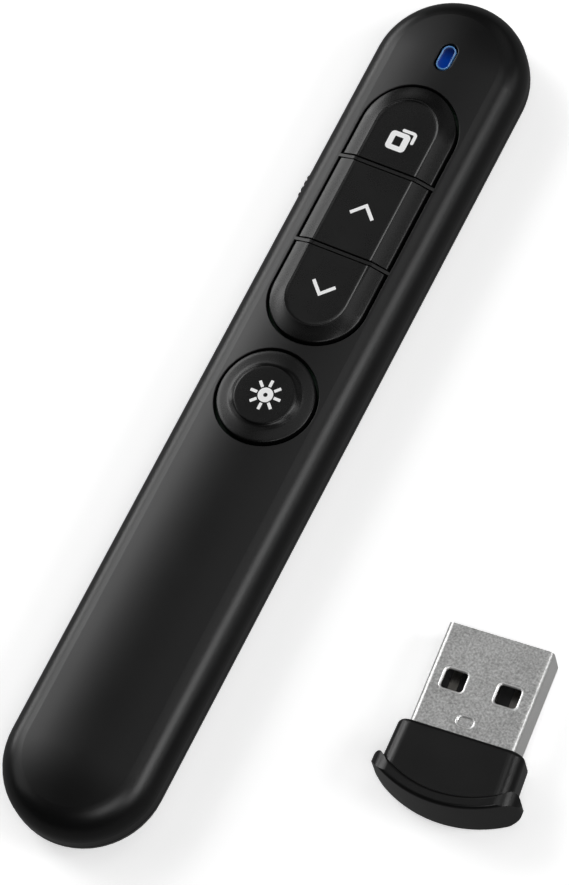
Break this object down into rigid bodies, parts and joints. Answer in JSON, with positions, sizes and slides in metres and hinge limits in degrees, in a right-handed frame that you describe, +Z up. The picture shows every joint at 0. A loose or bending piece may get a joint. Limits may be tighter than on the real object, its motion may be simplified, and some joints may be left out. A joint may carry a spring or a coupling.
{
  "type": "wireless presentation clicker",
  "caption": "Slim stick-shaped presentation clicker with page, window and laser keys, a status light and a power slide, with its USB receiver beside it.",
  "frame": {"origin": "centre of the handset's flat underside, on the surface it lies on", "axes": "+Z up, +Y along the handset towards the laser end, +X to the right seen from above with the laser end away"},
  "size_m": [0.0544, 0.107, 0.0089],
  "materials": {
    "housing_black": "fine soft-touch texture",
    "key_black": "smooth matt",
    "knob_black": "matt",
    "receiver_black": "satin",
    "plunger_black": "matt",
    "lens_blue": "tinted, polished",
    "led_white": "clear resin",
    "board_green": "solder mask",
    "chip_black": "moulded",
    "switch_steel": "stamped",
    "screw_steel": "plated",
    "port_steel": "rolled",
    "plug_steel": "grained, nickel plated",
    "contact_gold": "gold plated",
    "laser_brass": "turned",
    "battery_foil": "laminated foil pouch",
    "wire_red": "insulation",
    "wire_black": "insulation",
    "plug_white": "nylon",
    "port_plastic": "moulded",
    "clear_lens": "polished"
  },
  "bodies": {
    "handset": {"top_cover": "housing_black", "bottom_cover": "housing_black", "tact_switches": "switch_steel", "status_lens": "lens_blue", "status_led": "led_white", "main_board": "board_green", "board_screws": "screw_steel", "battery": "battery_foil", "battery_lead_red": "wire_red", "battery_lead_black": "wire_black", "battery_plug": "plug_white", "laser_barrel": "laser_brass", "laser_lens": "clear_lens", "laser_leads": "wire_red", "laser_window": "clear_lens", "charge_port": "port_steel", "charge_port_tongue": "port_plastic", "power_switch": "switch_steel", "radio_chip": "chip_black", "charger_chip": "chip_black", "crystal": "screw_steel"},
    "window_button": {"window_key": "key_black", "window_plunger": "plunger_black"},
    "page_up_button": {"page_up_key": "key_black", "page_up_plunger": "plunger_black"},
    "page_down_button": {"page_down_key": "key_black", "page_down_plunger": "plunger_black"},
    "laser_button": {"laser_key": "key_black", "laser_plunger": "plunger_black"},
    "power_slider": {"power_knob": "knob_black", "power_lever": "plunger_black"},
    "receiver": {"receiver_shell": "plug_steel", "receiver_tongue": "port_plastic", "receiver_contacts": "contact_gold", "receiver_sleeve": "receiver_black", "receiver_grip": "receiver_black", "receiver_board": "board_green", "receiver_chip": "chip_black"}
  },
  "joints": [
    {"name": "window_press", "type": "slide", "parent": "handset", "child": "window_button", "axis": [0, 0, -1], "range_m": [0, 0.0003], "stiffness_N_per_m": 4000, "springref_m": -0.00006},
    {"name": "page_up_press", "type": "slide", "parent": "handset", "child": "page_up_button", "axis": [0, 0, -1], "range_m": [0, 0.0003], "stiffness_N_per_m": 4000, "springref_m": -0.00006},
    {"name": "page_down_press", "type": "slide", "parent": "handset", "child": "page_down_button", "axis": [0, 0, -1], "range_m": [0, 0.0003], "stiffness_N_per_m": 4000, "springref_m": -0.00006},
    {"name": "laser_press", "type": "slide", "parent": "handset", "child": "laser_button", "axis": [0, 0, -1], "range_m": [0, 0.0003], "stiffness_N_per_m": 4000, "springref_m": -0.00006},
    {"name": "power_slide", "type": "slide", "parent": "handset", "child": "power_slider", "axis": [0, 1, 0], "range_m": [0, 0.002]},
    {"name": "receiver_lift", "type": "slide", "parent": "handset", "child": "receiver", "axis": [0, 0, 1], "range_m": [0, 0.03]}
  ]
}
